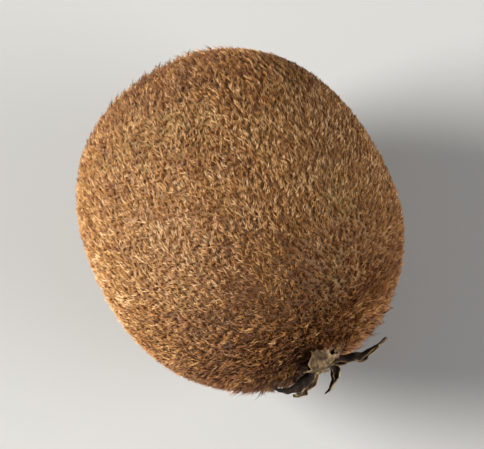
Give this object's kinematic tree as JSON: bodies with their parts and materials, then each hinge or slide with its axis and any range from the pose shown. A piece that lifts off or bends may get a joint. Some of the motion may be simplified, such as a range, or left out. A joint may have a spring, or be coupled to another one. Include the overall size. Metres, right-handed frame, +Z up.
{
  "type": "kiwifruit",
  "caption": "Whole fuzzy brown kiwifruit lying on its flatter side, with dried sepals round the stalk scar and dried styles at the blossom end.",
  "frame": {"origin": "in the small flat spot that the fruit rests on, straight under its widest section", "axes": "+X along the fruit's long axis towards the stem end, +Y across its width, +Z up through its thickness"},
  "size_m": [0.0648, 0.0519, 0.0487],
  "materials": {
    "skin": "dull brown, slightly rough skin",
    "hair": "short stiff golden brown hairs",
    "dried_sepal": "dry, dull, grey brown",
    "dried_style": "dry, dull, dark brown"
  },
  "bodies": {
    "root": {"fruit": "skin", "calyx": "dried_sepal", "style_crown": "dried_style"}
  },
  "joints": []
}
